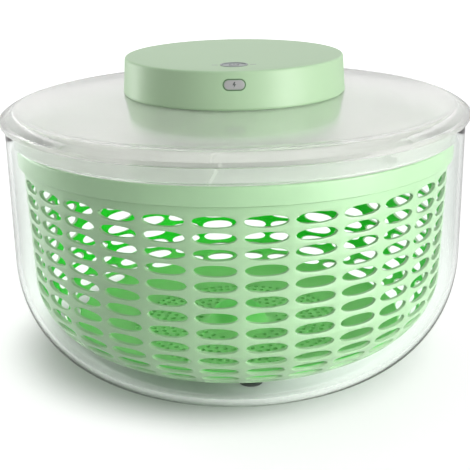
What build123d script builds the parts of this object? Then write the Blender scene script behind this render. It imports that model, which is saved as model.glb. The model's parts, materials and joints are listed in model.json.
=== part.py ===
from build123d import *
import os
from math import atan2, cos, degrees, hypot, pi, radians, sin, sqrt, tan

# Rechargeable salad spinner, millimetres. The origin is the centre of the table face under the bowl,
# +Z is up and the side with the charging port faces -Y.

# clear bowl
foot_proud = 0.8
bowl_wall = 2.4
bowl_floor = 3.0
bowl_foot_radius = 60.5
bowl_belly_radius = 122.3
bowl_belly_height = 66.4
bowl_rim_radius = 122.7
bowl_height = 139.2
bowl_curve_fullness = 0.59
foot_radius = 6.3
foot_depth = 2.4
foot_circle = 51.0
foot_angles = (-83, 37, 157)
boss_top = 10.0
boss_foot_radius = 15.0
boss_radius = 10.5

# pivot between bowl and basket
pin_radius = 4.0
pin_low = 2.4
pin_top = 22.0
running_gap = 0.05
cup_radius = 10.0
cup_flange_radius = 13.0
cup_low = 12.4
cup_top = 24.5

# perforated basket
column_count = 30
row_count = 13
first_row_height = 112.0
row_pitch = 7.92
slot_length = 21.4
slot_height = 5.7
slot_flat = 0.58
column_phase = 6.8
basket_wall = 2.2
basket_low = 14.0
basket_base_radius = 62.0
basket_shoulder_radius = 112.3
basket_shoulder_height = 54.6
band_radius = 117.2
band_low = 119.7
band_top = 129.4
band_step = 2.5
ledge_top = 122.9
ledge_radius = 111.0
notch_count = 8
notch_width = 10.0
hub_radius = 20.0
hub_top = 27.0
drain_count = 14
drain_slot = 3.2
inner_drain_circle = 33.0
inner_drain_length = 15.0
outer_drain_circle = 49.0
outer_drain_length = 9.0

# frosted lid
lid_radius = 125.0
lid_low = 139.3
lid_lip_top = 142.6
lid_wall = 2.4
lid_seat_height = 151.7
lid_seat_radius = 59.5
lid_opening_radius = 50.0
lid_shoulder_radius = 115.0
lid_shoulder_height = 147.0
lid_crown = (90.0, 149.9)
lid_shoulder_round = (120.4, 145.3)
skirt_radius = 119.6
skirt_low = 130.6
skirt_wall = 2.0

# drive unit: cap above the lid, housing base below it
cap_radius = 59.2
cap_top = 170.8
cap_wall = 2.2
cap_taper = 1.2
cap_edge = 1.6
base_radius = 57.0
base_low = 132.5
base_wall = 2.0
base_floor = 2.4
screw_circle = 52.6
post_radius = 3.0
screw_radius = 1.4
screw_head_radius = 2.8
screw_angles = (45, 135, 225, 315)

# gear train
gear_module = 1.0
wheel_teeth = 60
pinion_teeth = 10
tooth_reach = 0.8
tooth_play = 0.25
pressure_angle = 20
gear_low = 136.7
gear_high = 142.2
gear_distance = gear_module * (wheel_teeth + pinion_teeth) / 2
shaft_radius = 3.0
shaft_low = 120.9
shaft_top = 148.0
bush_radius = 6.5
upper_bush_radius = 5.0
plate_low = 143.6
plate_high = 145.4
plate_radius = 48.0
plate_post_circle = 44.0
plate_angles = (30, 150, 270)
plate_screw_low = 137.5
plate_screw_radius = 1.1
motor_screw_spread = 8.0
screw_top = 163.8
motor_radius = 12.2
motor_top = 167.2
motor_shaft_radius = 1.15
drive_disc_low = 123.0
drive_disc_high = 124.8
drive_disc_radius = 114.4
drive_hub_radius = 9.0
drive_hub_top = 127.8
rib_count = 6
rib_height = 2.4

# power and controls
cell_radius = 7.2
cell_length = 50.0
cell_spread = 8.0
cell_height = 154.2
board_low = 161.0
board_high = 162.6
button_y = -38.0
button_radius = 5.85
button_travel = 0.8
ring_radius = 6.9
ring_inner_radius = 6.1
plunger_radius = 1.7
lens_spread = 9.6
lens_length = 3.0
lens_width = 1.0
board_post_x = 12.0
board_post_y = -24.0
board_post_radius = 2.2
board_screw_radius = 1.0
port_height = 164.2
port_length = 10.5
port_width = 5.2
port_gap = 0.3


def disc(radius, low, high):
    return Pos(0, 0, (low + high) / 2) * Cylinder(radius, high - low)


def tube(outer, inner, low, high):
    return disc(outer, low, high) - disc(inner, low, high)


def stud(radius, low, high):
    # posts, screws and their holes repeat inside the closed drive unit, so they have eight sides
    return Pos(0, 0, low) * extrude(RegularPolygon(radius, 8, rotation=22.5), high - low)


def turned(*edges):
    return revolve(Plane.XZ * make_face(Curve() + list(edges)), Axis.Z)


def around(radius, angles, piece):
    return [Rot(0, 0, a) * Pos(radius, 0, 0) * piece for a in angles]


def group(pieces):
    return Compound(children=list(pieces))


def bowl_side(inset, low):
    # floor, rounded belly and tapered wall, offset inwards from the outside by inset
    foot = (bowl_foot_radius - inset / 2, low)
    belly = (bowl_belly_radius - inset, bowl_belly_height)
    wide, tall = belly[0] - foot[0], belly[1] - foot[1]
    k = bowl_curve_fullness
    curve = Bezier(foot, (foot[0] + k * wide, foot[1]), (belly[0], belly[1] - k * tall), belly)
    wall = Line(belly, (bowl_rim_radius - inset, bowl_height))
    return [Line((0, low), foot), curve, wall]


def make_bowl():
    low, floor = foot_proud, foot_proud + bowl_floor
    outside, inside = bowl_side(0, low), bowl_side(bowl_wall, floor)
    rim = Line((bowl_rim_radius - bowl_wall, bowl_height), (bowl_rim_radius, bowl_height))
    shell = turned(*outside, rim, *inside, Line((0, low), (0, floor)))
    shell = chamfer(shell.edges().group_by(Axis.Z)[-1], 0.6)
    boss = Pos(0, 0, (floor + boss_top) / 2) * Cone(boss_foot_radius, boss_radius, boss_top - floor)
    shell += boss
    shell -= disc(pin_radius, pin_low, boss_top)
    return shell - around(foot_circle, foot_angles, disc(foot_radius, 0, foot_depth))


def make_foot():
    pad = disc(foot_radius, 0, foot_depth)
    return chamfer(pad.edges().group_by(Axis.Z)[0], 0.5)


def make_pivot_pin():
    pin = disc(pin_radius, pin_low, pin_top)
    return chamfer(pin.edges().group_by(Axis.Z)[-1], 1.2)


def make_pivot_cup():
    cup = disc(cup_radius, cup_low, cup_top) + disc(cup_flange_radius, cup_low, basket_low)
    return cup - disc(pin_radius + running_gap, cup_low, pin_top + running_gap)


def basket_radius(height):
    # straight taper above the shoulder, a quarter ellipse below it
    if height >= basket_shoulder_height:
        part = (height - basket_shoulder_height) / (band_low - basket_shoulder_height)
        return basket_shoulder_radius + (band_radius - band_step - basket_shoulder_radius) * part
    drop = (basket_shoulder_height - height) / (basket_shoulder_height - basket_low)
    return basket_base_radius + (basket_shoulder_radius - basket_base_radius) * sqrt(1 - drop**2)


def wall_place(run):
    # radius, height and lean in degrees of the outer wall at a length run below the first row's centre
    wide, tall = basket_shoulder_radius - basket_base_radius, basket_shoulder_height - basket_low
    slope = atan2(band_radius - band_step - basket_shoulder_radius, band_low - basket_shoulder_height)
    height = first_row_height - run * cos(slope)
    if height >= basket_shoulder_height:
        return basket_radius(height), height, degrees(slope)
    left = run - (first_row_height - basket_shoulder_height) / cos(slope)
    turn, step = 0.0, 0.002
    while left > 0:
        left -= hypot(wide * sin(turn), tall * cos(turn)) * step
        turn += step
    lean = degrees(atan2(wide * sin(turn), tall * cos(turn)))
    return basket_base_radius + wide * cos(turn), basket_shoulder_height - tall * sin(turn), lean


def panelled(rings):
    # a closed solid with one flat panel for each column of slots between each ring and the next
    step = 2 * pi / column_count
    start = radians(column_phase)
    points = [
        [Vector(r * cos(start + i * step), r * sin(start + i * step), z) for i in range(column_count)]
        for r, z in rings
    ]
    faces = [Face(Wire.make_polygon(points[0])), Face(Wire.make_polygon(points[-1]))]
    for low, high in zip(points, points[1:]):
        for i in range(column_count):
            j = (i + 1) % column_count
            faces.append(Face(Wire.make_polygon([low[i], low[j], high[j], high[i]])))
    return Solid(Shell(faces))


def slot_cutter(radius, height, lean, angle):
    # a long hexagon cut square to the wall, shorter where the wall is narrower
    half = slot_length / 2 * radius / band_radius
    rise, flat = slot_height / 2, half * slot_flat
    outline = Polygon(
        (half, 0), (flat, rise), (-flat, rise), (-half, 0), (-flat, -rise), (flat, -rise), align=None
    )
    face = Plane.YZ * outline
    return Rot(0, 0, angle) * Pos(radius, 0, height) * Rot(0, lean, 0) * Pos(-8, 0, 0) * extrude(face, 16)


def make_basket():
    rows = [wall_place(row_pitch * k) for k in range(row_count)]
    webs = [wall_place(row_pitch * (k + 0.5)) for k in range(row_count + 2)]
    webs = [place for place in webs if place[1] < basket_shoulder_height + 1]
    top = band_low + 1
    rings = [(basket_base_radius, basket_low, 90)] + webs[::-1] + [(basket_radius(top), top, 0)]
    outer = [(r, z) for r, z, lean in rings]
    inner = [
        (r - basket_wall * cos(radians(lean)), z + basket_wall * sin(radians(lean))) for r, z, lean in rings
    ]
    shell = panelled(outer) - panelled(inner)
    angles = [column_phase + (i + 0.5) * 360 / column_count for i in range(column_count)]
    shell -= [slot_cutter(r, z, lean, a) for r, z, lean in rows for a in angles]

    band = tube(band_radius, band_radius - basket_wall, band_low, band_top)
    ledge = tube(band_radius - 0.5, ledge_radius, band_low, ledge_top)
    notch = Pos((ledge_radius + band_radius - basket_wall) / 2, 0, ledge_top - 2) * Box(
        band_radius - basket_wall - ledge_radius + 0.2, notch_width, 10
    )
    ledge -= around(0, [i * 360 / notch_count for i in range(notch_count)], notch)

    hub = turned(
        Line((0, basket_low), (hub_radius, basket_low)),
        Line((hub_radius, basket_low), (hub_radius, basket_low + basket_wall)),
        Polyline((hub_radius, basket_low + basket_wall), (13.5, hub_top - 2), (11, hub_top), (0, hub_top)),
        Line((0, hub_top), (0, basket_low)),
    )
    basket = shell + band + ledge + hub
    basket -= disc(cup_radius, basket_low, cup_top)
    drain_step = 360 / drain_count
    inner_drain = Pos(0, 0, basket_low) * Box(inner_drain_length, drain_slot, 8)
    outer_drain = Pos(0, 0, basket_low) * Box(outer_drain_length, drain_slot, 8)
    basket -= around(inner_drain_circle, [i * drain_step for i in range(drain_count)], inner_drain)
    between = [(i + 0.5) * drain_step for i in range(drain_count)]
    return basket - around(outer_drain_circle, between, outer_drain)


def make_lid():
    under = lid_seat_height - lid_wall
    lip = lid_radius - 0.6
    shoulder_top = (lid_shoulder_radius, lid_shoulder_height)
    top = ThreePointArc((lid_seat_radius, lid_seat_height), lid_crown, shoulder_top)
    shoulder = ThreePointArc(shoulder_top, lid_shoulder_round, (lip, lid_lip_top))
    inner_shoulder = (lid_shoulder_radius - 0.4, lid_shoulder_height - lid_wall)
    inner_low = (skirt_radius - skirt_wall, lid_low + 1.6)
    foot = (skirt_radius - 0.4, skirt_low)
    foot_inner = (skirt_radius - 0.4 - skirt_wall, skirt_low)
    lid = turned(
        Line((lid_opening_radius, lid_seat_height), (lid_seat_radius, lid_seat_height)),
        top,
        shoulder,
        Polyline(
            (lip, lid_lip_top),
            (lid_radius, lid_lip_top - 0.6),
            (lid_radius, lid_low + 0.6),
            (lip, lid_low),
            (skirt_radius, lid_low),
            foot,
            foot_inner,
            inner_low,
            inner_shoulder,
        ),
        ThreePointArc(inner_shoulder, (lid_crown[0], lid_crown[1] - lid_wall), (lid_seat_radius, under)),
        Polyline(
            (lid_seat_radius, under),
            (lid_opening_radius, under),
            (lid_opening_radius, lid_seat_height),
        ),
    )
    return lid - around(screw_circle, screw_angles, stud(screw_radius + 0.3, under, lid_seat_height))


def pill(length, width, depth):
    # rounded bar standing on -Y: its face looks along -Y, its depth runs inwards from Y = 0
    face = Plane(origin=(0, 0, 0), x_dir=(1, 0, 0), z_dir=(0, -1, 0)) * SlotOverall(length, width)
    return extrude(face, -depth)


def board_post_place(side):
    return Pos(side * board_post_x, board_post_y, 0)


def make_cap():
    inner_top = cap_top - cap_wall
    low = lid_seat_height
    outline = Polyline(
        (0, cap_top),
        (cap_radius - cap_taper, cap_top),
        (cap_radius, low + 0.7),
        (cap_radius - 0.8, low + 0.7),
        (cap_radius - 0.8, low),
        (cap_radius - cap_wall, low),
        (cap_radius - cap_wall - 0.4, inner_top),
        (0, inner_top),
        (0, cap_top),
    )
    cap = turned(outline)
    cap = fillet(cap.edges().group_by(Axis.Z)[-1], cap_edge)
    cap += around(screw_circle, screw_angles, stud(post_radius, low, inner_top))
    cap -= around(screw_circle, screw_angles, stud(screw_radius, low, screw_top))
    for side in (-1, 1):
        cap += board_post_place(side) * stud(board_post_radius, board_high, inner_top)
        cap -= board_post_place(side) * stud(board_screw_radius, board_high, inner_top - 1)
        cap -= Pos(side * lens_spread, button_y, cap_top) * Box(lens_length, lens_width, 6)
    cap -= Pos(0, button_y, 0) * disc(ring_radius, inner_top - 1, cap_top + 1)
    opening = pill(port_length + 2 * port_gap, port_width + 2 * port_gap, 6)
    return cap - Pos(0, -cap_radius - 1, port_height) * opening


def make_button_ring():
    ring = tube(ring_radius, ring_inner_radius, cap_top - cap_wall, cap_top + 0.2)
    return Pos(0, button_y, 0) * ring


def make_power_button():
    top = disc(button_radius, cap_top - cap_wall - 0.2, cap_top - 0.1)
    flange = disc(button_radius + 0.7, cap_top - cap_wall - 1.2, cap_top - cap_wall - 0.2)
    return Pos(0, button_y, 0) * (top + flange)


def make_switch_plunger():
    return Pos(0, button_y, 0) * disc(plunger_radius, board_high + 1.5, cap_top - cap_wall - 1.2)


def make_tactile_switch():
    body = Pos(0, button_y, board_high + 1.5) * Box(6, 6, 3)
    return body - Pos(0, button_y, 0) * disc(plunger_radius + 0.1, board_high + 0.3, board_high + 3)


def make_indicator_lenses():
    lens = Pos(0, button_y, cap_top - cap_wall / 2) * Box(lens_length, lens_width, cap_wall)
    return group([Pos(side * lens_spread, 0, 0) * lens for side in (-1, 1)])


def make_circuit_board():
    board = Pos(0, -36, (board_low + board_high) / 2) * Box(32, 32, board_high - board_low)
    for side in (-1, 1):
        board -= board_post_place(side) * stud(board_screw_radius + 0.2, board_low, board_high)
    return board


def make_usb_port():
    front = -cap_radius + cap_wall + 1.0
    shell = Pos(0, front, port_height) * pill(8.9, 3.2, 7.3)
    return shell - Pos(0, front, port_height) * pill(8.3, 2.6, 6.5)


def make_charge_port_cover():
    flush = cap_radius - cap_taper * (port_height - lid_seat_height) / (cap_top - lid_seat_height) + 0.1
    plate = Pos(0, -flush - 1, port_height) * pill(port_length, port_width, 3.0)
    plate &= disc(flush, port_height - 5, port_height + 5)
    plug = Pos(0, -flush + 1.5, port_height) * pill(7.6, 1.9, 2.0)
    return plate + plug


def make_housing_base():
    under = lid_seat_height - lid_wall
    floor = base_low + base_floor
    cup = disc(base_radius, base_low, under)
    cup = fillet(cup.edges().group_by(Axis.Z)[0], 3.0)
    cup -= disc(base_radius - base_wall, floor, under)
    cup += around(screw_circle, screw_angles, stud(post_radius, floor, under))
    cup += around(plate_post_circle, plate_angles, stud(post_radius, floor, plate_low))
    cup += disc(bush_radius + 2.5, base_low - 4.5, gear_low - 0.6)
    cup -= disc(bush_radius, base_low - 4.5, gear_low - 0.6)
    cup -= around(screw_circle, screw_angles, stud(screw_radius + 0.2, base_low, under))
    cup -= around(screw_circle, screw_angles, stud(screw_head_radius + 0.2, base_low, floor + 0.6))
    plate_hole = stud(plate_screw_radius, plate_screw_low, plate_low)
    return cup - around(plate_post_circle, plate_angles, plate_hole)


def screw(low, head, high, radius, head_radius):
    return stud(head_radius, low, head) + stud(radius, head, high)


def make_housing_screws():
    one = screw(base_low + 0.6, base_low + base_floor + 0.6, screw_top - 1, screw_radius, screw_head_radius)
    return group(around(screw_circle, screw_angles, one))


def make_plate_screws():
    one = stud(plate_screw_radius, plate_screw_low, plate_high) + stud(2.1, plate_high, plate_high + 1.4)
    return group(around(plate_post_circle, plate_angles, one))


def make_board_screws():
    one = screw(board_low - 1.3, board_low, board_high + 4, board_screw_radius, 1.9)
    return group([board_post_place(side) * one for side in (-1, 1)])


def make_gear_plate():
    plate = disc(plate_radius, plate_low, plate_high)
    plate += disc(upper_bush_radius + 2.5, plate_low - 1, plate_high + 1)
    plate -= disc(upper_bush_radius, plate_low - 1, plate_high + 1)
    plate -= Pos(0, gear_distance, 0) * disc(3.5, plate_low, plate_high)
    for side in (-1, 1):
        plate -= Pos(side * motor_screw_spread, gear_distance, 0) * stud(1.0, plate_low, plate_high)
    return plate - around(plate_post_circle, plate_angles, stud(plate_screw_radius, plate_low, plate_high))


def make_motor():
    body = Pos(0, gear_distance, 0) * disc(motor_radius, plate_high, motor_top)
    body += Pos(0, gear_distance, 0) * disc(3.0, plate_high - 1.4, plate_high)
    body -= Pos(0, gear_distance, 0) * disc(motor_shaft_radius + running_gap, plate_low, plate_high + 6)
    for side in (-1, 1):
        body -= Pos(side * motor_screw_spread, gear_distance, 0) * stud(1.0, plate_high, plate_high + 4)
    return body


def make_motor_screws():
    one = screw(plate_low - 1.3, plate_low, plate_high + 3.5, 1.0, 1.9)
    return group([Pos(side * motor_screw_spread, gear_distance, 0) * one for side in (-1, 1)])


def involute_angle(radius, base):
    # polar angle of the involute of a base circle where it reaches this radius
    t = sqrt(max(radius**2 / base**2 - 1, 0))
    return t - atan2(t, 1)


def gear_outline(teeth, flank_points):
    pitch = gear_module * teeth / 2
    base = pitch * cos(radians(pressure_angle))
    tip, root = pitch + tooth_reach * gear_module, pitch - 1.1 * gear_module
    half_tooth = pi / (2 * teeth) - tooth_play / (2 * pitch) + involute_angle(pitch, base)
    low = max(root, base)
    radii = [low + (tip - low) * i / (flank_points - 1) for i in range(flank_points)]
    rising = [(r, half_tooth - involute_angle(r, base)) for r in radii]
    if root < base:
        rising.insert(0, (root, half_tooth))
    tooth = [(r, -a) for r, a in rising] + [(r, a) for r, a in reversed(rising)]
    return [
        (r * cos(a + 2 * pi * n / teeth), r * sin(a + 2 * pi * n / teeth))
        for n in range(teeth)
        for r, a in tooth
    ]


def gear(teeth, flank_points, low, high, turn):
    face = make_face(Polyline(*gear_outline(teeth, flank_points), close=True))
    return Rot(0, 0, turn) * Pos(0, 0, low) * extrude(face, high - low)


def make_drive_gear():
    # a tooth space of the wheel faces the pinion at +Y
    wheel = gear(wheel_teeth, 2, gear_low, gear_high, 90 + 180 / wheel_teeth)
    return wheel - disc(shaft_radius, gear_low, gear_high)


def make_motor_pinion():
    pinion = gear(pinion_teeth, 4, gear_low - 0.4, gear_high + 0.2, -90)
    pinion -= disc(motor_shaft_radius, gear_low - 0.4, gear_high + 0.2)
    return Pos(0, gear_distance, 0) * pinion


def make_drive_plate():
    plate = disc(drive_disc_radius, drive_disc_low, drive_disc_high)
    plate += disc(drive_hub_radius, shaft_low - 0.6, drive_hub_top)
    rib = Pos(54, 0, drive_disc_high + rib_height / 2) * Box(92, 1.6, rib_height)
    plate += around(0, [22.5 + i * 360 / rib_count for i in range(rib_count)], rib)
    lug = Pos(drive_disc_radius - 0.8, 0, drive_disc_low - 1) * Box(1.5, notch_width - 0.8, 2)
    plate += around(0, [i * 360 / notch_count for i in range(notch_count)], lug)
    return plate - disc(shaft_radius, shaft_low, drive_hub_top)


def make_battery_cells():
    cell = Rot(0, 90, 0) * Cylinder(cell_radius, cell_length)
    return group([Pos(0, side * cell_spread, cell_height) * cell for side in (-1, 1)])


def make_battery_tray():
    low, high = plate_high, cell_height - 2
    tray = Pos(0, 0, (low + high) / 2) * Box(54, 4 * cell_spread, high - low)
    for side in (-1, 1):
        tray -= Pos(0, side * cell_spread, cell_height) * Rot(0, 90, 0) * Cylinder(cell_radius, cell_length)
    return tray - disc(upper_bush_radius + 2.8, low, high)


parts = {
    "bowl": make_bowl(),
    "foot_pads": group(around(foot_circle, foot_angles, make_foot())),
    "pivot_pin": make_pivot_pin(),
    "pivot_cup": make_pivot_cup(),
    "basket": make_basket(),
    "lid": make_lid(),
    "cap": make_cap(),
    "housing_base": make_housing_base(),
    "housing_screws": make_housing_screws(),
    "gear_plate": make_gear_plate(),
    "gear_plate_screws": make_plate_screws(),
    "lower_bush": tube(bush_radius, shaft_radius + running_gap, base_low - 2.4, gear_low - 0.6),
    "upper_bush": tube(upper_bush_radius, shaft_radius + running_gap, plate_low - 1, plate_high + 1),
    "shaft_seal": tube(bush_radius, shaft_radius + 0.3, base_low - 4.3, base_low - 2.4),
    "output_shaft": disc(shaft_radius, shaft_low, shaft_top),
    "drive_gear": make_drive_gear(),
    "drive_plate": make_drive_plate(),
    "motor": make_motor(),
    "motor_screws": make_motor_screws(),
    "motor_shaft": Pos(0, gear_distance, 0) * disc(motor_shaft_radius, gear_low - 0.4, plate_high + 5.5),
    "motor_pinion": make_motor_pinion(),
    "battery_cells": make_battery_cells(),
    "battery_tray": make_battery_tray(),
    "circuit_board": make_circuit_board(),
    "board_screws": make_board_screws(),
    "tactile_switch": make_tactile_switch(),
    "switch_plunger": make_switch_plunger(),
    "power_button": make_power_button(),
    "button_ring": make_button_ring(),
    "indicator_lenses": make_indicator_lenses(),
    "usb_port": make_usb_port(),
    "charge_port_cover": make_charge_port_cover(),
}

os.makedirs("parts", exist_ok=True)
for name, shape in parts.items():
    export_step(shape, f"parts/{name}.step")
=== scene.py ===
import json
import bpy
import numpy as np
from mathutils import Matrix, Vector


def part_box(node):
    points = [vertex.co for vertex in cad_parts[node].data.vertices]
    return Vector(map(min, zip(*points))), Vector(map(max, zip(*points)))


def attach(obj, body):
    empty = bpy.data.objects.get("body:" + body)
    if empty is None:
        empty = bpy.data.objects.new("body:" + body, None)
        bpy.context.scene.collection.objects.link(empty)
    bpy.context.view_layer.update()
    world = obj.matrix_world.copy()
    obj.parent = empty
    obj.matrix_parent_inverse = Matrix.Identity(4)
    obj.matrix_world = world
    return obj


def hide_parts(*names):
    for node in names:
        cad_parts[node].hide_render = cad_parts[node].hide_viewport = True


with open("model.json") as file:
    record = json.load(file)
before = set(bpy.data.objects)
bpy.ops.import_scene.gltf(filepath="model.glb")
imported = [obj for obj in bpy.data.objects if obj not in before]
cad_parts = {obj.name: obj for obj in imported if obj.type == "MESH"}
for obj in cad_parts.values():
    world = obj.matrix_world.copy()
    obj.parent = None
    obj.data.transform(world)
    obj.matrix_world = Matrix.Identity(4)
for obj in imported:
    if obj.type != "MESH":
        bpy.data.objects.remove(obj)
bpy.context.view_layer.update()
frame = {"nodes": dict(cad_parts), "record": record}
print("frame loaded,", len(frame["nodes"]), "nodes")

mm = 0.001       # one millimetre in metres; lengths are in millimetres unless a comment says otherwise
shortest = 1e-5  # a shorter step along a profile repeats its point
weld = 1e-4      # points of a mesh are rounded to this pitch to find the equal ones
smoothDeg = 35   # edges that turn more than this stay sharp


def boxMm(node):
    # a node's lowest and highest corner
    low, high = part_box(node)
    return np.array(low) / mm, np.array(high) / mm


# curves in the r, z plane

def line(start, end, count):
    # straight run: start (1 - t) + end t
    t = np.linspace(0, 1, count)[:, None]
    return np.array(start) * (1 - t) + np.array(end) * t


def arc(centre, radius, startDeg, endDeg, count):
    # circle of one radius about the centre: centre + radius (cos a, sin a)
    a = np.radians(np.linspace(startDeg, endDeg, count))
    return np.stack([centre[0] + radius * np.cos(a), centre[1] + radius * np.sin(a)], 1)


def bezier(a, b, c, d, count):
    # cubic with end points a, d and handles b, c
    t = np.linspace(0, 1, count)[:, None]
    a, b, c, d = map(np.array, (a, b, c, d))
    return a * (1 - t) ** 3 + 3 * b * t * (1 - t) ** 2 + 3 * c * t * t * (1 - t) + d * t**3


def joined(*runs):
    # runs end to end, with points that repeat left out
    points = np.concatenate([np.atleast_2d(np.array(r, float)) for r in runs])
    step = np.linalg.norm(np.diff(points, axis=0), axis=1)
    return points[np.r_[True, step > shortest]]


# grids and meshes

def roundAxis(r, a, z):
    # places at radius r, angle a and height z: (r cos a, r sin a, z)
    x, y = r * np.cos(a), r * np.sin(a)
    return np.stack([x, y, z + 0 * x], -1)


def turnedGrid(profile, angles):
    # every point of the profile goes round the Z axis
    return roundAxis(profile[:, 0:1], angles, profile[:, 1:2])


def evenAngles(count):
    # a full turn in equal steps, without its last angle, which is the first again
    return np.linspace(0, 2 * np.pi, count, endpoint=False)


def gridQuads(rows, cols, start):
    # corner numbers of the quads between neighbouring rows and columns; the last column meets the first
    i, j = np.meshgrid(np.arange(rows - 1), np.arange(cols), indexing="ij")
    k = (j + 1) % cols
    quads = np.stack([i * cols + j, i * cols + k, (i + 1) * cols + k, (i + 1) * cols + j], -1)
    return quads.reshape(-1, 4) + start


def cellRim(across, down):
    # points evenly round a square from -1 to 1, anticlockwise from its lower left corner
    u, v = np.linspace(-1, 1, across, endpoint=False), np.linspace(-1, 1, down, endpoint=False)
    x = np.concatenate([u, 1 + 0 * v, -u, -1 + 0 * v])
    y = np.concatenate([-1 + 0 * u, v, 1 + 0 * u, -v])
    return x, y


def meshPiece(name, grids, material, body, replaces=()):
    # each grid closes round on itself; equal points become one, and thin quads become triangles
    points, quads, start = [], [], 0
    for grid in grids:
        rows, cols = grid.shape[:2]
        points.append(grid.reshape(-1, 3))
        quads.append(gridQuads(rows, cols, start))
        start += rows * cols
    points, quads = np.concatenate(points), np.concatenate(quads)
    _, first, same = np.unique(np.round(points / weld).astype(np.int64), axis=0,
                               return_index=True, return_inverse=True)
    quads = same.reshape(-1)[quads]
    after = np.roll(quads, -1, axis=1)
    repeated = (quads == after).sum(1)
    faces = quads[repeated == 0].tolist()
    for quad in quads[repeated == 1].tolist():
        faces.append([v for n, v in enumerate(quad) if v != quad[(n + 1) % 4]])
    mesh = bpy.data.meshes.new(name)
    mesh.from_pydata((points[first] * mm).tolist(), [], faces)
    mesh.validate()
    mesh.update()
    mesh.shade_smooth()
    mesh.set_sharp_from_angle(angle=np.radians(smoothDeg))
    mesh.materials.append(material)
    piece = bpy.data.objects.new(name, mesh)
    bpy.context.scene.collection.objects.link(piece)
    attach(piece, body)
    if replaces:
        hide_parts(*replaces)
    print("piece", name, len(mesh.polygons), "faces")


# materials

class Wire:
    # a socket with arithmetic: each operator adds one Math node
    def __init__(self, tree, socket):
        self.tree, self.socket = tree, socket

    def maths(self, operation, left, right):
        node = self.tree.nodes.new("ShaderNodeMath")
        node.operation = operation
        for target, value in zip(node.inputs, (left, right)):
            plug(self.tree, target, value)
        return Wire(self.tree, node.outputs[0])

    def __add__(self, other):
        return self.maths("ADD", self, other)

    def __radd__(self, other):
        return self.maths("ADD", other, self)

    def __sub__(self, other):
        return self.maths("SUBTRACT", self, other)

    def __rsub__(self, other):
        return self.maths("SUBTRACT", other, self)

    def __mul__(self, other):
        return self.maths("MULTIPLY", self, other)

    def __rmul__(self, other):
        return self.maths("MULTIPLY", other, self)

    def __truediv__(self, other):
        return self.maths("DIVIDE", self, other)

    def __pow__(self, other):
        return self.maths("POWER", self, other)

    def __lt__(self, other):
        return self.maths("LESS_THAN", self, other)

    def atLeast(self, other):
        return self.maths("MAXIMUM", self, other)

    def atMost(self, other):
        return self.maths("MINIMUM", self, other)


def plug(tree, target, value):
    # a wire is linked to the socket, and anything else becomes its own value
    if isinstance(value, Wire):
        tree.links.new(value.socket, target)
    else:
        target.default_value = value


class Graph:
    # a node tree, where node() adds every node that isn't arithmetic
    def __init__(self, tree):
        self.tree = tree

    def node(self, kind, settings, sockets, output=0):
        # sockets and output go by name, or by number where a node has two of the same name
        node = self.tree.nodes.new(kind)
        for key, value in settings.items():
            setattr(node, key, value)
        for key, value in sockets.items():
            plug(self.tree, node.inputs[key], value)
        return Wire(self.tree, node.outputs[output])

    def rays(self, name):
        # 1 for rays of the named sort, or their count so far
        return self.node("ShaderNodeLightPath", {}, {}, name)

    def seenDirectly(self):
        # 1 for rays that come from the camera, straight or through clear pieces, 0 for light that bounces
        seen = self.rays("Is Camera Ray") + self.rays("Is Transmission Ray")
        return seen * (self.rays("Diffuse Depth") < 0.5)


class Finish(Graph):
    # one material, begun from its Principled node
    def __init__(self, name, **sockets):
        self.material = bpy.data.materials.new(name)
        self.material.use_nodes = True
        super().__init__(self.material.node_tree)
        self.principled = self.tree.nodes["Principled BSDF"]
        for socket, value in sockets.items():
            self.drive(socket.replace("_", " "), value)

    def drive(self, socket, value):
        # a wire or a plain value goes to the Principled node
        plug(self.tree, self.principled.inputs[socket], value)

    def objectPlace(self):
        # the piece's own x, y and z, in metres
        return self.node("ShaderNodeTexCoord", {}, {}, "Object")

    def along(self, axis):
        # one of them: axis 0, 1 or 2
        return self.node("ShaderNodeSeparateXYZ", {}, {"Vector": self.objectPlace()}, axis)

    def noise(self, scale, detail, rough=0.5):
        # cloudy pattern round 0.5 that stays with the piece
        sockets = {"Vector": self.objectPlace(), "Scale": scale, "Detail": detail, "Roughness": rough}
        return self.node("ShaderNodeTexNoise", {}, sockets, "Fac")

    def ramp(self, value, low, high, least=0.0, easing="LINEAR"):
        # least to 1 as the value goes from low to high
        sockets = {"Value": value, "From Min": low, "From Max": high, "To Min": least}
        return self.node("ShaderNodeMapRange", {"interpolation_type": easing}, sockets)

    def mixed(self, factor, first, second):
        # a Mix node's factor and two colours are its sockets 0, 6 and 7, and its colour is output 2
        sockets = {0: factor, 6: first, 7: second}
        return self.node("ShaderNodeMix", {"data_type": "RGBA"}, sockets, 2)

    def bump(self, height, depth, strength):
        # depth is how far a height of 1 stands out
        sockets = {"Height": height, "Distance": depth * mm, "Strength": strength}
        self.drive("Normal", self.node("ShaderNodeBump", {}, sockets, "Normal"))

    def lampsPass(self, tint):
        # lamps shine through: only shadow rays meet the plain tint
        clear = self.node("ShaderNodeBsdfTransparent", {}, {"Color": tint})
        solid = Wire(self.tree, self.principled.outputs[0])
        sockets = {0: self.rays("Is Shadow Ray"), 1: solid, 2: clear}
        shader = self.node("ShaderNodeMixShader", {}, sockets)
        plug(self.tree, self.tree.nodes["Material Output"].inputs["Surface"], shader)


def srgb(r, g, b):
    # display colour 0-255 to scene colour
    c = np.array([r, g, b]) / 255
    lin = np.where(c <= 0.04045, c / 12.92, ((c + 0.055) / 1.055) ** 2.4)
    return (*[float(v) for v in lin], 1.0)


moulded = {"ior": 1.49, "gloss": 0.42, "specular": 0.9, "driftScale": 18, "fineScale": 900, "peelScale": 160,
           "glossSpread": 0.06, "depth": 0.01, "strength": 0.3}


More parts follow.
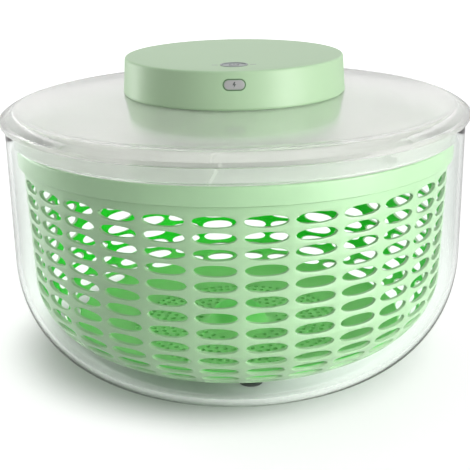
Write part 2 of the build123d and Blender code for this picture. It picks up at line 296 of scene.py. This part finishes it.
def mouldedSkin(f, roughness):
    # fine grain in the gloss, over a very low orange-peel
    fine = f.noise(moulded["fineScale"], detail=4, rough=0.6)
    peel = f.noise(moulded["peelScale"], detail=2)
    f.drive("Roughness", roughness + moulded["glossSpread"] * (fine - 0.5))
    f.bump(fine * 0.5 + peel * 0.5, moulded["depth"], moulded["strength"])


def mouldedPlastic(name, colour, deep):
    # satin moulding whose colour drifts slowly
    f = Finish(name, IOR=moulded["ior"], Specular_IOR_Level=moulded["specular"])
    f.drive("Base Color", f.mixed(f.noise(moulded["driftScale"], detail=2), colour, deep))
    mouldedSkin(f, moulded["gloss"])
    return f.material


simple = {"scale": 400, "darker": 0.86, "glossSpread": 0.12, "strength": 0.4}


def plainFinish(name, colour, roughness, metallic=0.0, depth=0.01):
    # one colour with a slightly darker grain
    f = Finish(name, Metallic=metallic)
    grain = f.noise(simple["scale"], detail=3)
    shade = tuple(c * simple["darker"] for c in colour[:3]) + (1.0,)
    f.drive("Base Color", f.mixed(grain, colour, shade))
    f.drive("Roughness", roughness + simple["glossSpread"] * (grain - 0.5))
    f.bump(grain, depth, simple["strength"])
    return f.material


# the basket's sizes, which both its finish and its mesh read
basket = {"columns": 30, "rows": 13, "firstRow": 112.0, "pitch": 7.92, "phaseDeg": 6.8,
          "slotHalfDeg": 5.23, "slotRise": 2.85, "slotFullness": 2.2, "lip": 0.55, "wall": 2.2,
          "base": 14.0, "baseRadius": 62.0, "shoulderRadius": 112.3, "shoulderHeight": 54.6,
          "bandLow": 119.7, "wallTopRadius": 114.7, "ledgeTop": 122.9, "ledgeRadius": 111.0,
          "across": 10, "down": 4}
# inner and floor are not the plastic's own colour: they paint shade on the basket's inside faces
basketLook = {"outer": (163, 195, 155), "drift": (158, 191, 150), "inner": (26, 208, 38),
              "floor": (146, 210, 134), "lamps": (206, 222, 204), "gloss": 0.46, "specular": 0.15,
              "coat": 0.9, "coatGloss": 0.4, "coatIor": 1.7, "skinBack": 0.4, "skinFront": 0.05,
              "floorBlend": (18.0, 36.0)}


def basketFinish():
    # satin green; faces turned to the inside, found by their depth behind the outer wall, are painted a
    # deeper green as painted shade for the dim, green-lit inside, less deep on the floor low down
    f = Finish("basketGreen", IOR=moulded["ior"], Specular_IOR_Level=basketLook["specular"],
               Coat_Roughness=basketLook["coatGloss"], Coat_IOR=basketLook["coatIor"])
    x, y, z = [f.along(axis) for axis in range(3)]
    shoulder, wide = basket["shoulderRadius"] * mm, (basket["shoulderRadius"] - basket["baseRadius"]) * mm
    knee, tall = basket["shoulderHeight"] * mm, (basket["shoulderHeight"] - basket["base"]) * mm
    drop = ((knee - z) / tall).atLeast(0.0).atMost(1.0)
    straight = basket["bandLow"] - basket["shoulderHeight"]
    taper = (basket["wallTopRadius"] - basket["shoulderRadius"]) / straight
    rise = (z - knee).atLeast(0.0)
    outer = shoulder - wide + wide * (1.0 - drop * drop) ** 0.5 + taper * rise
    depth = (outer - (x * x + y * y) ** 0.5) / mm
    inside = f.ramp(depth, basket["wall"] - basketLook["skinBack"], basket["wall"] - basketLook["skinFront"])
    drift = f.noise(moulded["driftScale"], detail=2)
    skin = f.mixed(drift, srgb(*basketLook["outer"]), srgb(*basketLook["drift"]))
    # the lining is painted shade: deep green on the inner wall, paler on the floor low down
    high = f.ramp(z / mm, *basketLook["floorBlend"])
    paintedShadeLining = f.mixed(high, srgb(*basketLook["floor"]), srgb(*basketLook["inner"]))
    f.drive("Base Color", f.mixed(inside, skin, paintedShadeLining))
    f.drive("Coat Weight", basketLook["coat"] * (1.0 - inside))
    mouldedSkin(f, basketLook["gloss"])
    f.lampsPass(srgb(*basketLook["lamps"]))
    return f.material


# edge is the colour of the painted dark reflection at the bowl's contour, not a tint of the plastic
bowlLook = {"ior": 1.12, "flat": (245, 249, 246), "smear": (242, 246, 243), "edge": (34, 40, 36),
            "lamps": (246, 249, 247), "smearScale": 30, "gloss": 0.01, "smearGloss": 0.02,
            "edgeBlend": 0.35, "edgePower": 3, "edgeLeast": 0.12, "edgeRise": (40.0, 85.0),
            "edgeFade": (138.5, 134.0)}


def clearBowlFinish():
    # clear moulding: a painted dark contour, standing in for reflection and refraction, turns the wall
    # grey-green where it is seen edge-on, less of it low down and at the rim
    f = Finish("clearPlastic", IOR=bowlLook["ior"], Transmission_Weight=1.0)
    edge = f.node("ShaderNodeLayerWeight", {}, {"Blend": bowlLook["edgeBlend"]}, "Facing")
    smear = f.noise(bowlLook["smearScale"], detail=3)
    flat = f.mixed(smear, srgb(*bowlLook["flat"]), srgb(*bowlLook["smear"]))
    z = f.along(2) / mm
    upper = f.ramp(z, *bowlLook["edgeRise"], bowlLook["edgeLeast"], "SMOOTHSTEP")
    rim = f.ramp(z, *bowlLook["edgeFade"])
    paintedEdgeReflection = edge ** bowlLook["edgePower"] * upper * rim
    f.drive("Base Color", f.mixed(paintedEdgeReflection, flat, srgb(*bowlLook["edge"])))
    f.drive("Roughness", bowlLook["gloss"] + bowlLook["smearGloss"] * smear)
    f.lampsPass(srgb(*bowlLook["lamps"]))
    return f.material


lidLook = {"ior": 1.3, "lidThrough": 0.82, "plateThrough": 0.2, "pale": (245, 244, 243),
           "cloud": (241, 241, 239), "lamps": (226, 230, 226), "cloudScale": 40, "gloss": 0.11,
           "cloudGloss": 0.04}


def frostedFinish(name, through):
    # frosted moulding: some of the light passes, the rest scatters at the surface
    f = Finish(name, IOR=lidLook["ior"], Transmission_Weight=through)
    cloud = f.noise(lidLook["cloudScale"], detail=2)
    f.drive("Base Color", f.mixed(cloud, srgb(*lidLook["pale"]), srgb(*lidLook["cloud"])))
    f.drive("Roughness", lidLook["gloss"] + lidLook["cloudGloss"] * cloud)
    f.lampsPass(srgb(*lidLook["lamps"]))
    return f.material


basketGreen = basketFinish()
capGreen = mouldedPlastic("capGreen", srgb(181, 213, 173), srgb(176, 209, 168))
# a darker copy of the cap's green for the housing base under the lid: painted shade
shadedBaseGreen = mouldedPlastic("shadedBaseGreen", srgb(158, 202, 150), srgb(153, 198, 145))
clearBowl = clearBowlFinish()
frosted = frostedFinish("frostedPlastic", lidLook["lidThrough"])
milky = frostedFinish("milkyPlastic", lidLook["plateThrough"])
whiteAcetal = plainFinish("whiteAcetal", srgb(238, 238, 232), 0.4)
darkRubber = plainFinish("darkRubber", srgb(52, 58, 56), 0.55, depth=0.05)
greyRubber = plainFinish("greyRubber", srgb(182, 182, 182), 0.5)
greyRing = plainFinish("greyRing", srgb(158, 166, 166), 0.35)
darkPlastic = plainFinish("darkPlastic", srgb(40, 42, 42), 0.45)
boardGreen = plainFinish("boardGreen", srgb(20, 96, 52), 0.4)
cellWrap = plainFinish("cellWrap", srgb(60, 110, 180), 0.35)
bronze = plainFinish("bronze", srgb(186, 140, 84), 0.4, metallic=1.0)
steel = plainFinish("steel", srgb(196, 198, 200), 0.28, metallic=1.0)
printInk = plainFinish("printInk", srgb(92, 96, 94), 0.5)
seamShade = plainFinish("seamShade", srgb(96, 132, 92), 0.6)
print("materials made")

slotFinish = {
    "clear_plastic": clearBowl, "frosted_plastic": frosted, "basket_green": basketGreen,
    "housing_green": capGreen, "white_acetal": whiteAcetal, "dark_rubber": darkRubber,
    "grey_rubber": greyRubber, "grey_plastic": greyRing, "dark_plastic": darkPlastic,
    "board_green": boardGreen, "cell_wrap": cellWrap, "bronze": bronze, "steel": steel,
}
# the housing base's darker green is painted shade under the lid
nodeFinish = {"drive_plate": milky, "housing_base": shadedBaseGreen}      # two nodes differ from their slot
for part in frame["record"]["subparts"]:
    for place in frame["nodes"][part["node"]].material_slots:
        place.material = nodeFinish.get(part["node"], slotFinish[part["material_slot"]])
print("carried-over nodes painted")

# bowl

bowl = {"wall": 2.4, "floor": 3.0, "footRadius": 60.5, "bellyRadius": 122.3, "bellyHeight": 66.4,
        "fullness": 0.59, "bossFoot": 15.0, "bossTop": 10.5, "bossHigh": 10.0, "bossRound": 0.6,
        "underFrom": 8, "segments": 240}


def bowlSide(inset, low, top):
    # floor edge, rounded belly and tapered wall, moved inwards by inset
    foot = (bowl["footRadius"] - inset / 2, low)
    belly = (bowl["bellyRadius"] - inset, bowl["bellyHeight"])
    wide, tall, k = belly[0] - foot[0], belly[1] - foot[1], bowl["fullness"]
    rim = (bowlHigh[0] - inset, top)
    curve = bezier(foot, (foot[0] + k * wide, low), (belly[0], belly[1] - k * tall), belly, 40)
    return joined(curve, line(belly, rim, 12))


def bowlBoss(z):
    # fillet at the foot, cone, rounded edge and flat top of the boss that holds the pivot pin
    foot, top, high, edge = bowl["bossFoot"], bowl["bossTop"], bowl["bossHigh"], bowl["bossRound"]
    return joined((foot + 2, z), (foot, z + 0.5), line((foot - 0.4, z + 1.2), (top, high - edge), 4),
                  (top - edge, high), (0, high))


bowlLow, bowlHigh = boxMm("bowl")
wall, floorZ = bowl["wall"], bowlLow[2] + bowl["floor"]
rimZ = bowlHigh[2] - wall / 2
outside = bowlSide(0, bowlLow[2], rimZ)
inside = bowlSide(wall, floorZ, rimZ)[::-1]
rimRound = arc((bowlHigh[0] - wall / 2, rimZ), wall / 2, 0, 180, 12)
under = line((bowl["underFrom"], bowlLow[2]), outside[0], 6)
bowlProfile = joined((0, bowlLow[2]), under, outside, rimRound, inside, bowlBoss(floorZ))
meshPiece("clearBowl", [turnedGrid(bowlProfile, evenAngles(bowl["segments"]))],
          clearBowl, "bowl", ("bowl",))

# basket

basketLow, basketHigh = boxMm("basket")
bandRadius, bandTop, baseZ = basketHigh[0], basketHigh[2], basketLow[2]
floorTop = baseZ + basket["wall"]
slotEdge = {"depth": 0.8, "middle": 0.35, "bulge": (1.004, 1.02), "wallRadius": 113}


def outerRadius(z):
    # straight taper above the shoulder, a quarter ellipse below it
    z = np.asarray(z, float)
    up = (z - basket["shoulderHeight"]) / (basket["bandLow"] - basket["shoulderHeight"])
    straight = basket["shoulderRadius"] + (basket["wallTopRadius"] - basket["shoulderRadius"]) * up
    drop = np.clip((basket["shoulderHeight"] - z) / (basket["shoulderHeight"] - baseZ), 0, 1)
    wide = basket["shoulderRadius"] - basket["baseRadius"]
    return np.where(up >= 0, straight, basket["baseRadius"] + wide * np.sqrt(1 - drop**2))


def wallCurve():
    # the outer wall from the band to the base: length run down from the first row, r, z and the normal
    steps = 300
    turn = np.linspace(0, np.pi / 2, 2 * steps)[1:]
    knee, wide = basket["shoulderHeight"], basket["shoulderRadius"] - basket["baseRadius"]
    straightZ = np.linspace(basket["bandLow"], knee, steps)
    z = np.concatenate([straightZ, knee - (knee - baseZ) * np.sin(turn)])
    r = np.concatenate([outerRadius(straightZ), basket["baseRadius"] + wide * np.cos(turn)])
    run = np.concatenate([[0], np.cumsum(np.hypot(np.diff(r), np.diff(z)))])
    run -= np.interp(-basket["firstRow"], -z, run)
    alongR, alongZ = np.gradient(r, run), np.gradient(z, run)
    return run, r, z, -alongZ, alongR


runs, wallR, wallZ, normalR, normalZ = wallCurve()


def wallProfile(run, depth):
    # r and z at a length run down the wall; depth 0 is the outer face and 1 the inner face
    inset = basket["wall"] * depth
    r = np.interp(run, runs, wallR) - inset * np.interp(run, runs, normalR)
    z = np.interp(run, runs, wallZ) - inset * np.interp(run, runs, normalZ)
    return r, z


def wallPoint(angle, run, depth):
    # the wall's profile carried round the axis
    r, z = wallProfile(run, depth)
    return roundAxis(r, angle, z)


def slotOutline(x, y):
    # an ellipse filled out a little, read in the direction of each border point
    size, power = np.hypot(x, y), 2 / basket["slotFullness"]
    return np.sign(x) * np.abs(x / size) ** power, np.sign(y) * np.abs(y / size) ** power


def slotCells():
    # one cell per slot: rings run from the cell's border to the slot's edge, through the wall and back
    x, y = cellRim(basket["across"], basket["down"])
    halfCell, rise, lip = np.pi / basket["columns"], basket["pitch"] / 2, basket["lip"]
    sx, sy = slotOutline(x, y)
    slotA, slotRun = np.radians(basket["slotHalfDeg"]) * sx, basket["slotRise"] * sy
    lipA, lipRun = slotA + lip / slotEdge["wallRadius"] * sx, slotRun + lip * sy
    edge, bulge = lip / basket["wall"] * slotEdge["depth"], slotEdge["bulge"]
    rings = [(halfCell * x, rise * y, 0), (lipA, lipRun, 0),
             (slotA * bulge[0], slotRun * bulge[1], edge * slotEdge["middle"]), (slotA, slotRun, edge),
             (slotA, slotRun, 1 - edge), (lipA, lipRun, 1), (halfCell * x, rise * y, 1)]
    cells = []
    for row in range(basket["rows"]):
        for column in range(basket["columns"]):
            a0 = np.radians(basket["phaseDeg"]) + (column + 0.5) * 2 * halfCell
            rowRun = basket["pitch"] * row
            cells.append(np.stack([wallPoint(a0 + a, rowRun - run, depth) for a, run, depth in rings]))
    return cells


def basketGrids():
    # the stepped rim above the slots and the plain foot below them are turned profiles
    angles = evenAngles(basket["columns"] * basket["across"]) + np.radians(basket["phaseDeg"])
    topRun, lowRun = -basket["pitch"] / 2, basket["pitch"] * (basket["rows"] - 0.5)
    above, below = np.linspace(topRun, runs[0], 4), np.linspace(lowRun, runs[-1], 16)
    r, w, low, lipRound = bandRadius, basket["wall"], basket["bandLow"], 0.9
    ledgeZ, ledgeR, notch = basket["ledgeTop"], basket["ledgeRadius"], 0.3
    band = joined((r - 0.35, low), (r, low + 0.4), line((r, low + 0.8), (r, bandTop - 1.1), 4),
                  arc((r - lipRound, bandTop - lipRound), lipRound, 0, 180, 10),
                  line((r - w, bandTop - 1.2), (r - w, ledgeZ + 0.4), 3),
                  (r - w - 0.4, ledgeZ), (ledgeR + notch, ledgeZ), (ledgeR, ledgeZ - notch),
                  (ledgeR, low + notch), (ledgeR + notch, low))
    upper = joined(np.stack(wallProfile(above, 0), 1), band, np.stack(wallProfile(above[::-1], 1), 1))
    tuck = basket["baseRadius"] - 2.5
    lower = joined(np.stack(wallProfile(below, 1), 1), (tuck, floorTop), (tuck, baseZ),
                   np.stack(wallProfile(below[::-1], 0), 1))
    return [turnedGrid(upper, angles), turnedGrid(lower, angles)] + slotCells()


drilled = {"border": 240, "counts": (24, 30, 40, 48, 60, 60, 80, 80), "inner": 21.0, "rim": 1.0, "hole": 1.5}
hub = {"foot": 19, "handles": ((16, 17), (15, 26)), "shoulder": (11.5, 26.4), "edgeCentre": (10.4, 25.4),
       "edgeRadius": 1.5, "top": 26.9, "bore": 10, "boreTop": 24.5}


def drilledRing(low, high, count):
    # one ring of square cells, each with a round hole through the floor
    x, y = cellRim(drilled["border"] // count, 4)
    middle, half, turn, radius = (low + high) / 2, (high - low) / 2, np.pi / count, drilled["hole"]
    size = np.hypot(x, y)
    border, hole = (half * y, turn * x), (radius * y / size, radius / middle * x / size)
    rings = [(*border, baseZ), (*hole, baseZ), (*hole, floorTop), (*border, floorTop)]
    cells = []
    for number in range(count):
        at = (2 * number + 1) * turn
        cells.append(np.stack([roundAxis(middle + r, at + a, z) for r, a, z in rings]))
    return cells


def floorGrids():
    # drilled rings from the hub to the wall, the floor's outer edge, and the hub with its bore
    angles = evenAngles(drilled["border"])
    inner, outer = drilled["inner"], basket["baseRadius"] - drilled["rim"]
    radii = np.linspace(inner, outer, len(drilled["counts"]) + 1)
    cells = []
    for low, high, count in zip(radii, radii[1:], drilled["counts"]):
        cells += drilledRing(low, high, count)
    rim = joined((outer, baseZ), (outer, floorTop))
    cone = joined((inner, floorTop), (inner - 1, floorTop + 0.3),
                  bezier((hub["foot"], floorTop + 1), *hub["handles"], hub["shoulder"], 10),
                  arc(hub["edgeCentre"], hub["edgeRadius"], 60, 90, 4), (0, hub["top"]))
    bore = joined((0, hub["boreTop"]), (hub["bore"], hub["boreTop"]), (hub["bore"], baseZ), (inner, baseZ))
    return cells + [turnedGrid(profile, angles) for profile in (rim, cone, bore)]


meshPiece("slottedBasket", basketGrids(), basketGreen, "basket", ("basket",))
meshPiece("drilledFloor", floorGrids(), basketGreen, "basket")

# lid

lid = {"wall": 2.4, "seatRadius": 59.5, "openingRadius": 50.0, "seatHeight": 151.7, "lipTop": 142.6,
       "lipLow": 139.3, "crestRadius": 115.0, "crestHeight": 147.0, "skirtRadius": 119.6, "skirtWall": 2.0,
       "crownHandles": ((78, 151.0), (100, 149.0)), "shoulderHandles": ((118.6, 146.4), (122.0, 144.6)),
       "cornerHandles": ((2.0, 143.6), (2.5, 144.2)), "cornerTop": 144.35, "segments": 240}


def lidOutside():
    # crown from the cap's seat to the crest, rounded shoulder and upright lip
    top, crest = lid["lipTop"], (lid["crestRadius"], lid["crestHeight"])
    crown = bezier((lid["seatRadius"], lid["seatHeight"]), *lid["crownHandles"], crest, 24)
    shoulder = bezier(crest, *lid["shoulderHandles"], (lidR - 0.5, top), 10)
    return joined(crown, shoulder, (lidR, top - 0.4), line((lidR, top - 0.8), (lidR, lidBase + 0.7), 3),
                  (lidR - 0.2, lidBase + 0.2), (lidR - 0.7, lidBase))


def lidSkirt():
    # the ring that finds the bowl's rim: fillet, outer face, rounded foot, inner face and rounded corner,
    # whose handles are (distance in from the outer face, height)
    r, thick, foot = lid["skirtRadius"], lid["skirtWall"], lidLow[2]
    handles = [(r - inset, z) for inset, z in lid["cornerHandles"]]
    corner = bezier((r - thick, lidBase + 2.6), *handles, (lid["crestRadius"] + 1.2, lid["cornerTop"]), 8)
    return joined((r + 0.6, lidBase), (r, lidBase - 0.5), (r - 0.35, foot + 0.6), (r - 0.9, foot),
                  (r - 1.8, foot), (r - 2.3, foot + 0.6), (r - thick, lidBase + 1.6), corner)


def lidUnderside():
    # the crown again, one wall lower, back to the opening for the drive
    handles = [(r, z - lid["wall"]) for r, z in lid["crownHandles"][::-1]]
    seatUnder = lid["seatHeight"] - lid["wall"]
    crown = bezier((lid["crestRadius"] - 0.4, lid["crestHeight"] - lid["wall"]), *handles,
                   (lid["seatRadius"], seatUnder), 24)
    return joined(crown, (lid["openingRadius"], seatUnder), (lid["openingRadius"], lid["seatHeight"]))


lidLow, lidHigh = boxMm("lid")
lidR, lidBase = lidHigh[0], lid["lipLow"]
lidProfile = joined((lid["openingRadius"], lid["seatHeight"]), lidOutside(), lidSkirt(), lidUnderside())
meshPiece("frostedLid", [turnedGrid(lidProfile[::-1], evenAngles(lid["segments"]))],
          frosted, "lid", ("lid",))

# cap

cap = {"baseRadius": 59.2, "topRadius": 58.0, "gap": 0.5, "recess": 0.6, "chamfer": (0.25, 0.3), "wall": 2.2,
       "edge": 1.1, "sink": 0.03, "buttonY": -38.0, "holeRadius": 6.95, "holeChamfer": 0.25,
       "morphRadius": 47.5, "segments": 240}
capLow, capHigh = boxMm("cap")
capTop, capBase = capHigh[2] - cap["sink"], capLow[2]


def capSide(z):
    # outer radius of the tapered side at height z
    return cap["baseRadius"] + (cap["topRadius"] - cap["baseRadius"]) * (z - capBase) / (capTop - capBase)


def circlesBetween(toRadius, z, count):
    # flat rings that pass from a circle about the axis to a small circle about the button
    t = np.linspace(0, 1, count)[:, None]
    r = cap["morphRadius"] + (toRadius - cap["morphRadius"]) * t
    rings = roundAxis(r, evenAngles(cap["segments"]), z)
    rings[:, :, 1] += t * cap["buttonY"]
    return rings


def capGrid():
    # gap over the lid, side, rounded edge, top with the button's hole, and the same way back inside
    angles = evenAngles(cap["segments"])
    base, w, edge, inner = cap["baseRadius"], cap["wall"], cap["edge"], capTop - cap["wall"]
    seamZ, (chamferR, chamferZ) = capBase + cap["gap"], cap["chamfer"]
    side = joined((base - w, capBase), (base - cap["recess"], capBase), (base - cap["recess"], seamZ),
                  (base - chamferR, seamZ), (base, seamZ + chamferZ),
                  line((capSide(capBase + 2), capBase + 2), (capSide(capTop - edge), capTop - edge), 6),
                  arc((capSide(capTop) - edge, capTop - edge), edge, 0, 90, 8), (cap["morphRadius"], capTop))
    top = circlesBetween(cap["holeRadius"] + cap["holeChamfer"], capTop, 8)
    lip = circlesBetween(cap["holeRadius"], capTop - cap["holeChamfer"], 2)[1:]
    ceiling = circlesBetween(cap["holeRadius"], inner, 4)[::-1]
    back = joined((cap["morphRadius"], inner), (capSide(capTop) - w, inner), (base - w, capBase))
    return np.concatenate([turnedGrid(side, angles), top[1:], lip, ceiling, turnedGrid(back, angles)[1:]])


meshPiece("capShell", [capGrid()], capGreen, "lid", ("cap",))

# charging-port cover and a dark ring round it, painted shadow in the seam

badge = {"length": 10.5, "width": 5.0, "height": 164.2, "round": 0.5, "proud": 0.12, "points": 18,
         "back": -1.2, "backInset": 2.0, "frontInset": 1.6, "middle": 0.4,
         "seam": 0.45, "seamTuck": 0.2, "seamLow": -0.3, "seamHigh": 0.02}


def pillOutline(length, width):
    # a bar with half-round ends, anticlockwise from its upper right corner
    r, straight = width / 2, length / 2 - width / 2
    a = np.radians(np.linspace(0, 180, badge["points"]))
    x = np.linspace(straight, -straight, badge["points"])[1:-1]
    left = np.stack([-straight - r * np.sin(a), r * np.cos(a)], 1)
    top = np.stack([x, r + 0 * x], 1)
    return np.concatenate([left, -top, -left, top])


def onCap(u, v, out):
    # u runs along the cap's round face from its front, v is height, out is the distance from the face
    r = capSide(v) + out
    return roundAxis(r, -np.pi / 2 + u / r, v)


def pillRings(rings):
    # each ring is (inset of the outline, distance out of the cap's face)
    rows = []
    for inset, out in rings:
        p = pillOutline(badge["length"] - 2 * inset, badge["width"] - 2 * inset)
        rows.append(onCap(p[:, 0], badge["height"] + p[:, 1], out))
    return np.stack(rows)


def pillMiddle(out):
    # a flat face closes along this line
    u = pillOutline(badge["length"], badge["width"])[:, 0] * badge["middle"]
    return onCap(u, badge["height"] + 0 * u, out)[None]


proud, back, edge = badge["proud"], badge["back"], badge["round"]
coverRings = [(badge["backInset"], back), (0.0, back), (0.0, proud - edge), (0.3 * edge, proud - 0.3 * edge),
              (edge, proud), (badge["frontInset"], proud)]
coverGrid = np.concatenate([pillMiddle(back), pillRings(coverRings), pillMiddle(proud)])
meshPiece("portCover", [coverGrid], greyRubber, "port_cover",
          ("charge_port_cover",))
# the ring is painted shadow where the cover meets the cap
seam, tuck, low, high = badge["seam"], badge["seamTuck"], badge["seamLow"], badge["seamHigh"]
seamGrid = pillRings([(tuck, low), (-seam, low), (-seam, high), (tuck, high), (tuck, low)])
meshPiece("portSeamShadow", [seamGrid], seamShade, "lid")

# printed marks on the cover and the button

mark = {"half": 0.03, "lift": 0.02, "innerRadius": 2.1, "outerRadius": 2.6, "gapDeg": 70, "ringSteps": 30,
        "barHalf": 0.25, "barLow": 1.2, "barHigh": 3.0,
        "bolt": [(-0.15, 1.45), (-0.85, -0.15), (-0.05, -0.15), (-0.35, -1.45), (0.85, 0.35), (0.1, 0.35),
                 (0.6, 1.45)]}
buttonTop = boxMm("power_button")[1][2]


def flatMark(outline, place):
    # thin printed mark: the outline goes from -half to half out of its face, place(u, v, out) puts it there
    u, v = np.array(outline, float).T
    low, high = place(u, v, mark["lift"] - mark["half"]), place(u, v, mark["lift"] + mark["half"])
    return np.stack([low * 0 + low.mean(0), low, high, high * 0 + high.mean(0)])


def bentMark(inner, outer, angles, place):
    # the same thickness as a bar bent round a circle, its small section carried along the angles
    r = np.array([inner, inner, outer, outer])
    out = mark["lift"] + mark["half"] * np.array([-1, 1, 1, -1])
    rows = [place(r * np.cos(a), r * np.sin(a), out) for a in angles]
    ends = [row * 0 + row.mean(0) for row in (rows[0], rows[-1])]
    return np.stack([ends[0], *rows, ends[1]])


def onCover(u, v, out):
    # flat places on the port cover's face, measured from its middle
    return onCap(u, badge["height"] + v, badge["proud"] + out)


def onButton(u, v, out):
    # flat places on the button's top, measured from its middle
    return np.stack([u, v + cap["buttonY"], buttonTop + out + 0 * u], -1)


meshPiece("chargeMark", [flatMark(mark["bolt"], onCover)], printInk, "port_cover")
openTop = 90 + mark["gapDeg"] / 2
ringTurn = np.radians(np.linspace(openTop, openTop + 360 - mark["gapDeg"], mark["ringSteps"]))
ringBar = bentMark(mark["innerRadius"], mark["outerRadius"], ringTurn, onButton)
half, low, high = mark["barHalf"], mark["barLow"], mark["barHigh"]
bar = flatMark([(-half, low), (half, low), (half, high), (-half, high)], onButton)
meshPiece("powerMark", [ringBar, bar], printInk, "button")
print("object dressed")

# stage: places and sizes are in metres

# the near glow and its tint paint a soft shadow round the bowl; the through lift and the side ramp lighten
# it to the right
studio = {"world": 0.36, "background": 1.0, "mirrored": 0.68, "floorMirrored": 0.3, "floorShade": 0.58,
          "floorHalf": 6.0, "paintedShadowGlow": (0.0, 0.3), "paintedShadowTint": (0.86, 1.0, 0.9), "midGlow": 0.62,
          "farGlow": 0.9, "throughLift": (0.0, 0.6), "side": (-0.01, 0.1), "glowCentre": (-0.012, 0.024),
          "nearEdge": (0.09, 0.134), "farEdge": (0.3, 1.6)}


def grey(value, tint=(1.0, 1.0, 1.0)):
    # a neutral scene colour, or one that leans to the tint
    return (*[value * part for part in tint], 1.0)


def floorFinish():
    # part of the floor's brightness glows, so that the table reads white; near the bowl the glow drops to a
    # painted shadow, darkest to the left and tinted a little green, lifted towards white to the right where
    # the floor is seen through the clear pieces, and the lamps' own shadows fall on it too
    f = Finish("floorWhite", Roughness=0.6, Base_Color=grey(studio["floorShade"]), Specular_IOR_Level=0.0)
    x, y = [f.along(axis) - studio["glowCentre"][axis] for axis in range(2)]
    distance = (x * x + y * y) ** 0.5
    left, right = [grey(glow, studio["paintedShadowTint"]) for glow in studio["paintedShadowGlow"]]
    side = f.ramp(x, *studio["side"], easing="SMOOTHSTEP")
    liftLeft, liftRight = studio["throughLift"]
    lift = f.rays("Is Transmission Ray") * (liftLeft + (liftRight - liftLeft) * side)
    paintedShadow = f.mixed(lift, f.mixed(side, left, right), grey(1.0))
    outwards = f.ramp(distance, *studio["farEdge"], easing="SMOOTHSTEP")
    around = f.mixed(outwards, grey(studio["midGlow"]), grey(studio["farGlow"]))
    away = f.ramp(distance, *studio["nearEdge"], easing="SMOOTHSTEP")
    f.drive("Emission Color", f.mixed(away, paintedShadow, around))
    f.drive("Emission Strength", f.seenDirectly() + studio["floorMirrored"] * f.rays("Is Glossy Ray"))
    return f.material


def makeFloor():
    # one large square at height 0
    half = studio["floorHalf"]
    corners = [(-half, -half, 0.0), (half, -half, 0.0), (half, half, 0.0), (-half, half, 0.0)]
    mesh = bpy.data.meshes.new("floor")
    mesh.from_pydata(corners, [], [(0, 1, 2, 3)])
    mesh.materials.append(floorFinish())
    plane = bpy.data.objects.new("floor", mesh)
    bpy.context.scene.collection.objects.link(plane)


def makeWorld():
    # a soft even light, with a white background for the camera and a pale one for gloss
    world = bpy.data.worlds.new("studio")
    bpy.context.scene.world = world
    world.use_nodes = True
    sky = Graph(world.node_tree)
    plain = studio["world"]
    strength = (plain + sky.seenDirectly() * (studio["background"] - plain)
                + sky.rays("Is Glossy Ray") * (studio["mirrored"] - plain))
    shown = sky.tree.nodes["Background"]
    shown.inputs["Color"].default_value = grey(1.0)
    plug(sky.tree, shown.inputs["Strength"], strength)


def areaLamp(name, place, target, width, height, power, mirrored=True):
    # a rectangle of light at place that faces target; gloss shows it only when it is mirrored
    data = bpy.data.lights.new(name, "AREA")
    data.shape = "RECTANGLE"
    data.size, data.size_y, data.energy = width, height, power
    lamp = bpy.data.objects.new(name, data)
    bpy.context.scene.collection.objects.link(lamp)
    lamp.location = place
    lamp.rotation_euler = (Vector(target) - Vector(place)).to_track_quat("-Z", "Y").to_euler()
    lamp.visible_glossy = mirrored


# place, target, width, height, power in watts, and whether gloss mirrors the lamp
lamps = {
    "keyRight": ((1.2, -0.88, 0.45), (0, 0, 0.1), 1.0, 0.9, 13.5, False),
    "keySheen": ((1.2, -0.88, 0.14), (0, 0, 0.12), 0.7, 0.24, 5),
    "rimLeft": ((-1.1, 0.6, 0.45), (0, 0, 0.1), 0.4, 0.9, 8, False),
    "rimSheen": ((-1.1, 0.65, 0.14), (0, 0, 0.12), 0.35, 0.24, 1.9),
    "overhead": ((0.1, 0.2, 1.8), (0, 0, 0.1), 1.2, 1.2, 5),
    "backSheet": ((0.0, 1.6, 0.7), (0, 0, 0.14), 2.6, 0.9, 3),
}
# metres and degrees, with the lens and its sensor in millimetres
view = {"distance": 0.6016, "elevationDeg": 17.99, "rollDeg": -1.022, "panDeg": 0.106, "targetHeight": 0.069,
        "lens": 81.9, "sensor": 36.0}


def makeCamera():
    # in front of the object and above it, turned a little to the side by pan and about its axis by roll
    data = bpy.data.cameras.new("camera")
    data.sensor_width = view["sensor"]
    data.lens = view["lens"]
    camera = bpy.data.objects.new("camera", data)
    bpy.context.scene.collection.objects.link(camera)
    tilt, roll, pan = np.radians([view["elevationDeg"], view["rollDeg"], view["panDeg"]])
    target = np.array([0, 0, view["targetHeight"]])
    place = np.array([0, -np.cos(tilt), np.sin(tilt)]) * view["distance"] + target
    right = np.array([np.cos(pan), np.sin(pan), 0.0])
    back = np.array([np.sin(pan) * np.cos(tilt), -np.cos(pan) * np.cos(tilt), np.sin(tilt)])
    up = np.cross(back, right)
    rolledRight = np.cos(roll) * right + np.sin(roll) * up
    rolledUp = -np.sin(roll) * right + np.cos(roll) * up
    matrix = np.eye(4)
    matrix[:3] = np.stack([rolledRight, rolledUp, back, place], 1)
    camera.matrix_world = Matrix(matrix.tolist())
    bpy.context.scene.camera = camera


makeFloor()
makeWorld()
for name, values in lamps.items():
    areaLamp(name, *values)
makeCamera()
scene = bpy.context.scene
scene.view_settings.view_transform = "Standard"
scene.cycles.use_denoising = True
scene.cycles.max_bounces = 24                  # the clear walls stand behind one another
scene.cycles.transmission_bounces = 20
scene.cycles.transparent_max_bounces = 24
print("floor, lamps and camera placed")
